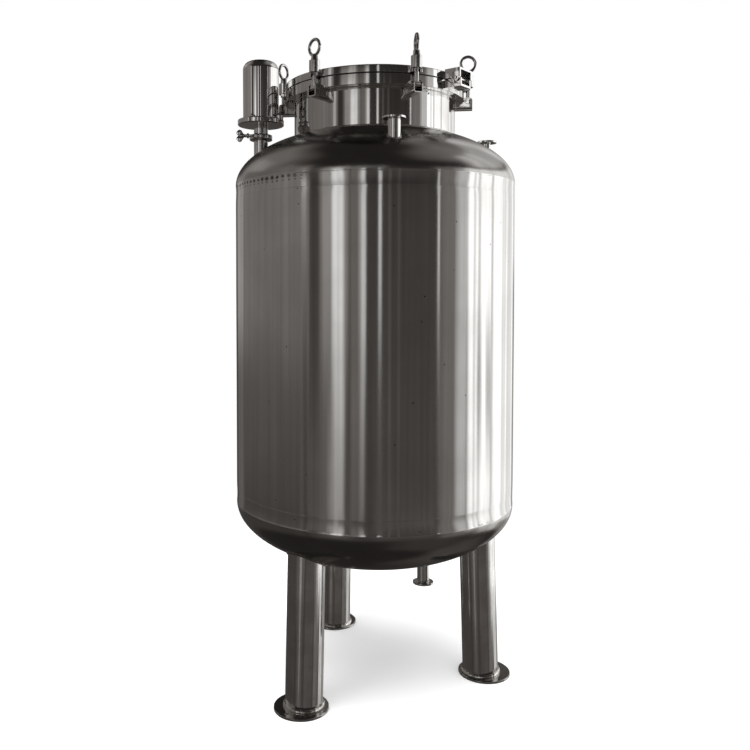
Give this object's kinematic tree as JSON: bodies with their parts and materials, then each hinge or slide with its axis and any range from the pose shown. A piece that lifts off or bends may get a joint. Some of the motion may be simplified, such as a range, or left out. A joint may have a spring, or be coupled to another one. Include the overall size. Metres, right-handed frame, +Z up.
{
  "type": "vertical storage tank",
  "caption": "Upright stainless steel storage tank with dished ends, a bolted round manway, a breather, pipe nozzles and splayed tubular legs on round foot plates.",
  "frame": {"origin": "on the tank's upright axis, level with the undersides of the foot plates", "axes": "+Z up along the tank's axis; -Y faces the picture's camera and +X is to its right"},
  "size_m": [1, 1, 2.221],
  "materials": {
    "barrel_steel": "satin",
    "head_steel": "satin, darker",
    "neck_steel": "satin, bright",
    "fitting_steel": "polished",
    "leg_steel": "polished",
    "mirror_steel": "mirror polished",
    "gasket_rubber": "matt"
  },
  "bodies": {
    "tank": {"shell_barrel": "barrel_steel", "top_head": "head_steel", "bottom_head": "head_steel", "manway_neck": "neck_steel", "neck_flange": "neck_steel", "lid_gasket": "gasket_rubber", "lid_rim": "neck_steel", "lid_dish": "neck_steel", "hinge_base": "fitting_steel", "hinge_arm": "fitting_steel", "hinge_pin": "fitting_steel", "front_nozzle": "fitting_steel", "right_nozzle": "fitting_steel", "bottom_outlet": "fitting_steel", "breather_nozzle": "fitting_steel", "breather_clamp": "fitting_steel", "breather_stem": "fitting_steel", "breather_base": "fitting_steel", "breather_cover": "mirror_steel", "bolt_bracket_front_left": "fitting_steel", "bolt_bracket_front_right": "fitting_steel", "bolt_bracket_right": "fitting_steel", "bolt_bracket_back_right": "fitting_steel", "bolt_bracket_back_left": "fitting_steel", "bolt_bracket_left": "fitting_steel", "leg_front_left": "leg_steel", "foot_plate_front_left": "leg_steel", "leg_right": "leg_steel", "foot_plate_right": "leg_steel", "leg_back_left": "leg_steel", "foot_plate_back_left": "leg_steel"},
    "bolt_front_left": {"swing_bolt_front_left": "fitting_steel", "eye_nut_front_left": "fitting_steel"},
    "bolt_front_right": {"swing_bolt_front_right": "fitting_steel", "eye_nut_front_right": "fitting_steel"},
    "bolt_right": {"swing_bolt_right": "fitting_steel", "eye_nut_right": "fitting_steel"},
    "bolt_back_right": {"swing_bolt_back_right": "fitting_steel", "eye_nut_back_right": "fitting_steel"},
    "bolt_back_left": {"swing_bolt_back_left": "fitting_steel", "eye_nut_back_left": "fitting_steel"},
    "bolt_left": {"swing_bolt_left": "fitting_steel", "eye_nut_left": "fitting_steel"}
  },
  "joints": [
    {"name": "swing_front_left", "type": "hinge", "parent": "tank", "child": "bolt_front_left", "pos_m": [-0.19691, -0.27102, 2.056], "axis": [0.809, -0.5878, 0], "range_deg": [0, 100]},
    {"name": "swing_front_right", "type": "hinge", "parent": "tank", "child": "bolt_front_right", "pos_m": [0.13626, -0.30604, 2.056], "axis": [0.9135, 0.4067, 0], "range_deg": [0, 100]},
    {"name": "swing_right", "type": "hinge", "parent": "tank", "child": "bolt_right", "pos_m": [0.33316, -0.03502, 2.056], "axis": [0.1045, 0.9945, 0], "range_deg": [0, 100]},
    {"name": "swing_back_right", "type": "hinge", "parent": "tank", "child": "bolt_back_right", "pos_m": [0.19691, 0.27102, 2.056], "axis": [-0.809, 0.5878, 0], "range_deg": [0, 100]},
    {"name": "swing_back_left", "type": "hinge", "parent": "tank", "child": "bolt_back_left", "pos_m": [-0.13626, 0.30604, 2.056], "axis": [-0.9135, -0.4067, 0], "range_deg": [0, 100]},
    {"name": "swing_left", "type": "hinge", "parent": "tank", "child": "bolt_left", "pos_m": [-0.33316, 0.03502, 2.056], "axis": [-0.1045, -0.9945, 0], "range_deg": [0, 100]}
  ]
}
